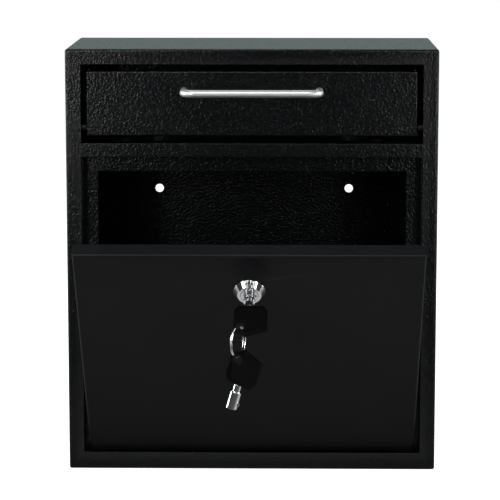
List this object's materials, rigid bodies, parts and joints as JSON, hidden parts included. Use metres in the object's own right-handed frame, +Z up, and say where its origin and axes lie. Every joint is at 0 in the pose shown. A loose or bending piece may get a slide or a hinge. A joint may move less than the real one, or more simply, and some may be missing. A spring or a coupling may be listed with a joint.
{
  "type": "parcel drop box",
  "caption": "Wall-mounted steel drop box with a pull-handle deposit hopper above and a bottom-hinged locking door below, shown open with its keys.",
  "frame": {"origin": "centre of the four wall holes, on the rear face", "axes": "+Z up, the front faces -Y, +X to the right as seen from the front"},
  "size_m": [0.266, 0.2624, 0.306],
  "materials": {
    "textured_paint": "black hammered powder coat, semi-gloss",
    "satin_paint": "black smooth powder coat, satin",
    "satin_chrome": "satin",
    "bright_chrome": "polished",
    "zinc_steel": "zinc plated",
    "key_plastic": "moulded, satin",
    "rubber": "matte"
  },
  "bodies": {
    "housing": {"housing_shell": "textured_paint", "back_panel": "textured_paint", "mid_rail": "textured_paint", "door_stop_frame": "textured_paint", "fishing_baffle": "textured_paint", "hopper_bracket_left": "textured_paint", "hopper_bracket_right": "textured_paint", "door_bracket_left": "textured_paint", "door_bracket_right": "textured_paint", "hopper_bumpers": "rubber"},
    "hopper": {"hopper_panel": "textured_paint", "hopper_tray": "textured_paint", "hopper_cheek_left": "textured_paint", "hopper_cheek_right": "textured_paint", "hopper_pin_left": "satin_paint", "hopper_pin_right": "satin_paint", "pin_clips": "zinc_steel", "pull_handle": "satin_chrome", "handle_screws": "zinc_steel"},
    "door": {"door_panel": "satin_paint", "lock_backing_plate": "satin_paint", "door_pin_left": "satin_paint", "door_pin_right": "satin_paint", "lock_barrel": "bright_chrome", "lock_washer": "zinc_steel", "lock_nut": "zinc_steel"},
    "lock_cylinder": {"lock_plug": "bright_chrome", "lock_cam": "zinc_steel", "cam_washer": "zinc_steel", "cam_screw": "zinc_steel"},
    "key": {"key_head": "key_plastic", "key_barrel": "bright_chrome"},
    "split_ring": {"key_ring": "bright_chrome"},
    "spare_key": {"spare_key_head": "key_plastic", "spare_key_barrel": "bright_chrome"}
  },
  "joints": [
    {"name": "hopper_hinge", "type": "hinge", "parent": "housing", "child": "hopper", "pos_m": [0, -0.114, 0.121], "axis": [1, 0, 0], "range_deg": [0, 45]},
    {"name": "door_hinge", "type": "hinge", "parent": "housing", "child": "door", "pos_m": [0, -0.114, -0.108], "axis": [1, 0, 0], "range_deg": [-38, 0]},
    {"name": "lock_turn", "type": "hinge", "parent": "door", "child": "lock_cylinder", "pos_m": [0, -0.22351, 0.02243], "axis": [0, 0.788, 0.6157], "range_deg": [0, 90]},
    {"name": "key_pull", "type": "slide", "parent": "lock_cylinder", "child": "key", "axis": [0, -0.788, -0.6157], "range_m": [0, 0.02]},
    {"name": "ring_swing", "type": "hinge", "parent": "key", "child": "split_ring", "pos_m": [-0.0071, -0.25212, 0.00008], "axis": [-0.9135, 0.4067, 0], "range_deg": [-18, 40]},
    {"name": "spare_key_swing", "type": "hinge", "parent": "split_ring", "child": "spare_key", "pos_m": [-0.0071, -0.25212, -0.01732], "axis": [0.4067, 0.9135, 0], "range_deg": [-60, 60]}
  ]
}
